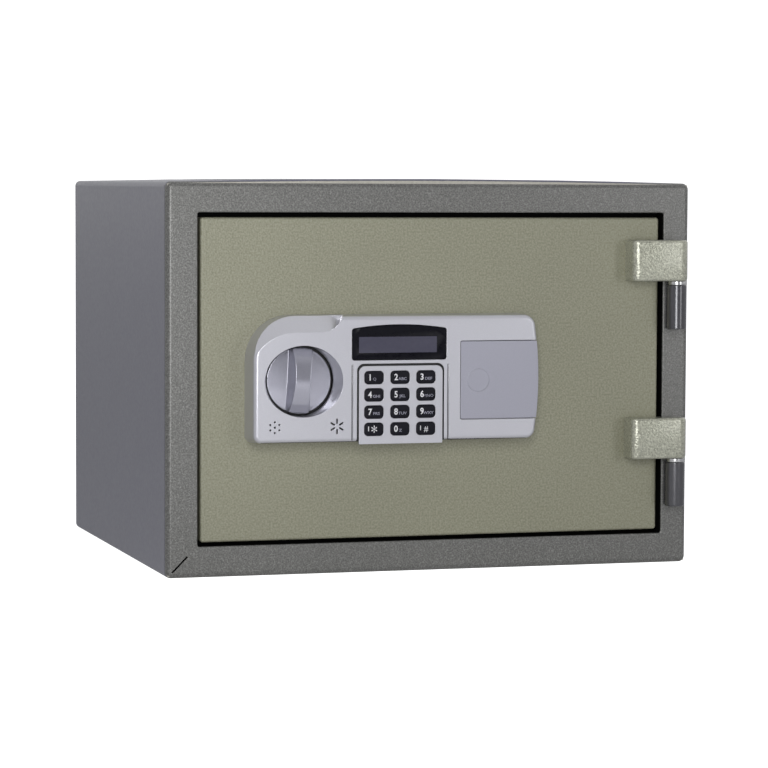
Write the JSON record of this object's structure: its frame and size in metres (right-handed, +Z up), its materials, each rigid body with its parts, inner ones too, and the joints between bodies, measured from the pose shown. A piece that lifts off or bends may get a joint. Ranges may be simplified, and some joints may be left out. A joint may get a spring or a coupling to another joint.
{
  "type": "in-room safe",
  "caption": "Fire-resistant in-room safe: steel cabinet, hinged stepped door, keypad lock panel with display, turn knob and sliding bolts.",
  "frame": {"origin": "centre of the cabinet's base", "axes": "+Z up, +X to the hinge side seen from the front, -Y out of the door"},
  "size_m": [0.436, 0.3944, 0.3127],
  "materials": {
    "shell_paint": "smooth grey-violet paint over sheet steel",
    "frame_paint": "hammered grey paint over sheet steel",
    "door_paint": "textured green-grey powder coat",
    "liner_paint": "satin light grey paint",
    "fire_fill": "matte cast gypsum and cement fill",
    "seal_strip": "matt black intumescent seal",
    "felt": "needle felt",
    "zinc_steel": "bright zinc plated steel",
    "bright_steel": "ground steel",
    "brass": "turned brass",
    "hinge_paint": "hammered light green-grey paint over steel",
    "panel_silver": "silver painted moulding",
    "cover_silver": "satin silver painted moulding",
    "knob_silver": "glossy silver lacquered moulding",
    "window_dark": "tinted acrylic",
    "lcd": "unlit liquid crystal glass",
    "key_black": "gloss black key cap",
    "board_green": "solder-masked circuit board",
    "black_plastic": "moulded black plastic",
    "cell_wrap": "shrink sleeve",
    "coil_tape": "wound coil under tape",
    "cable_sleeve": "PVC sleeve"
  },
  "bodies": {
    "cabinet": {"outer_shell": "shell_paint", "front_frame": "frame_paint", "back_panel": "shell_paint", "body_insulation": "fire_fill", "inner_liner": "liner_paint", "door_seal": "seal_strip", "anchor_sleeves": "zinc_steel", "floor_mat": "felt", "bolt_keeper": "zinc_steel", "upper_hinge_barrel": "frame_paint", "lower_hinge_barrel": "frame_paint", "hinge_pins": "bright_steel", "hinge_washers": "bright_steel"},
    "door": {"door_skin": "door_paint", "door_insulation": "fire_fill", "boltwork_case": "zinc_steel", "bolt_guides": "brass", "guide_posts": "zinc_steel", "dead_bar": "zinc_steel", "door_inner_cover": "liner_paint", "plug_insulation": "fire_fill", "cover_screws": "zinc_steel", "upper_hinge_block": "hinge_paint", "lower_hinge_block": "hinge_paint", "solenoid": "coil_tape", "plunger_spring": "bright_steel", "panel_housing": "panel_silver", "display_window": "window_dark", "lcd_module": "lcd", "keypad_plate": "panel_silver", "keypad_board": "board_green", "battery_holder": "black_plastic", "battery_contacts": "bright_steel", "batteries": "cell_wrap", "buzzer": "black_plastic", "panel_screws": "zinc_steel", "lock_cable": "cable_sleeve", "knob_bushing": "brass"},
    "knob_assembly": {"knob": "knob_silver", "spindle": "bright_steel", "bolt_crank": "brass"},
    "boltwork": {"bolt_carrier": "zinc_steel", "locking_bolts": "bright_steel", "bolt_nuts": "zinc_steel"},
    "plunger": {"solenoid_plunger": "bright_steel"},
    "battery_lid": {"battery_cover": "cover_silver"},
    "key_1_cap": {"key_1": "key_black"},
    "key_2_cap": {"key_2": "key_black"},
    "key_3_cap": {"key_3": "key_black"},
    "key_4_cap": {"key_4": "key_black"},
    "key_5_cap": {"key_5": "key_black"},
    "key_6_cap": {"key_6": "key_black"},
    "key_7_cap": {"key_7": "key_black"},
    "key_8_cap": {"key_8": "key_black"},
    "key_9_cap": {"key_9": "key_black"},
    "key_star_cap": {"key_star": "key_black"},
    "key_0_cap": {"key_0": "key_black"},
    "key_hash_cap": {"key_hash": "key_black"}
  },
  "joints": [
    {"name": "door_hinge", "type": "hinge", "parent": "cabinet", "child": "door", "pos_m": [0.2033, -0.196, 0.155], "axis": [0, 0, 1], "range_deg": [0, 120]},
    {"name": "knob_turn", "type": "hinge", "parent": "door", "child": "knob_assembly", "pos_m": [-0.1129, -0.185, 0.1545], "axis": [0, -1, 0], "range_deg": [0, 90]},
    {"name": "bolt_throw", "type": "slide", "parent": "door", "child": "boltwork", "axis": [-1, 0, 0], "range_m": [0, 0.0198]},
    {"name": "plunger_slide", "type": "slide", "parent": "door", "child": "plunger", "axis": [0, 0, 1], "range_m": [0, 0.006], "deforming": ["plunger_spring"]},
    {"name": "battery_cover_slide", "type": "slide", "parent": "door", "child": "battery_lid", "axis": [1, 0, 0], "range_m": [0, 0.06]},
    {"name": "key_1_press", "type": "slide", "parent": "door", "child": "key_1_cap", "axis": [0, 1, 0], "range_m": [0, 0.001], "stiffness_N_per_m": 400},
    {"name": "key_2_press", "type": "slide", "parent": "door", "child": "key_2_cap", "axis": [0, 1, 0], "range_m": [0, 0.001], "stiffness_N_per_m": 400},
    {"name": "key_3_press", "type": "slide", "parent": "door", "child": "key_3_cap", "axis": [0, 1, 0], "range_m": [0, 0.001], "stiffness_N_per_m": 400},
    {"name": "key_4_press", "type": "slide", "parent": "door", "child": "key_4_cap", "axis": [0, 1, 0], "range_m": [0, 0.001], "stiffness_N_per_m": 400},
    {"name": "key_5_press", "type": "slide", "parent": "door", "child": "key_5_cap", "axis": [0, 1, 0], "range_m": [0, 0.001], "stiffness_N_per_m": 400},
    {"name": "key_6_press", "type": "slide", "parent": "door", "child": "key_6_cap", "axis": [0, 1, 0], "range_m": [0, 0.001], "stiffness_N_per_m": 400},
    {"name": "key_7_press", "type": "slide", "parent": "door", "child": "key_7_cap", "axis": [0, 1, 0], "range_m": [0, 0.001], "stiffness_N_per_m": 400},
    {"name": "key_8_press", "type": "slide", "parent": "door", "child": "key_8_cap", "axis": [0, 1, 0], "range_m": [0, 0.001], "stiffness_N_per_m": 400},
    {"name": "key_9_press", "type": "slide", "parent": "door", "child": "key_9_cap", "axis": [0, 1, 0], "range_m": [0, 0.001], "stiffness_N_per_m": 400},
    {"name": "key_star_press", "type": "slide", "parent": "door", "child": "key_star_cap", "axis": [0, 1, 0], "range_m": [0, 0.001], "stiffness_N_per_m": 400},
    {"name": "key_0_press", "type": "slide", "parent": "door", "child": "key_0_cap", "axis": [0, 1, 0], "range_m": [0, 0.001], "stiffness_N_per_m": 400},
    {"name": "key_hash_press", "type": "slide", "parent": "door", "child": "key_hash_cap", "axis": [0, 1, 0], "range_m": [0, 0.001], "stiffness_N_per_m": 400}
  ],
  "couplings": [
    {"joint": "knob_turn", "follows": "bolt_throw", "rad_per_m": 79.33}
  ]
}
